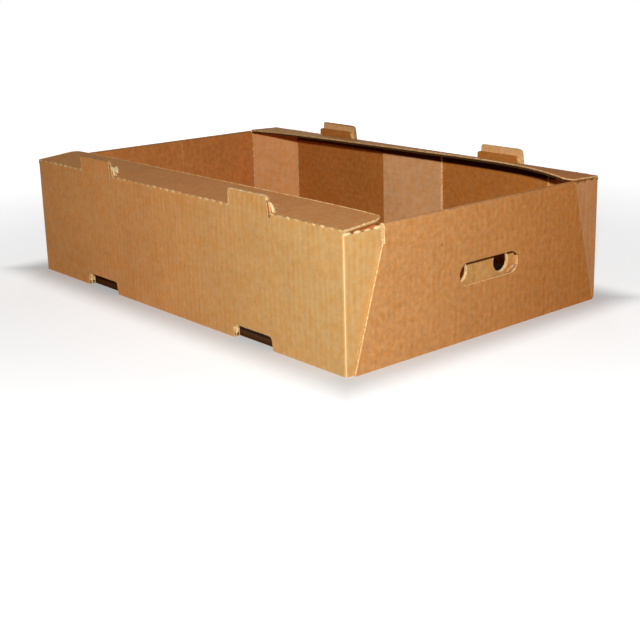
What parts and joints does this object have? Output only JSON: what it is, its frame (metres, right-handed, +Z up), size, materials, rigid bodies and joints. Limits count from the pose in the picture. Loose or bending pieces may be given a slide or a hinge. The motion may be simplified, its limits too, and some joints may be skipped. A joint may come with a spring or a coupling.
{
  "type": "cardboard tray box",
  "caption": "Open stacking tray of kraft corrugated board with folded corner posts, ledges along the long walls, upright stacking tabs, matching notches and hand slots in the ends.",
  "frame": {"origin": "centre of the base's underside, on the floor", "axes": "+X along the long walls, towards the end wall that is nearer in the picture; +Y across, from the front long wall to the back one; +Z up"},
  "size_m": [0.6, 0.392, 0.1625],
  "materials": {
    "kraft_body": "matte",
    "kraft_panel": "matte"
  },
  "bodies": {
    "root": {"tray_body": "kraft_body", "side_panel_front": "kraft_panel", "side_panel_back": "kraft_panel", "stiffener_front": "kraft_panel", "stiffener_back": "kraft_panel"}
  },
  "joints": []
}
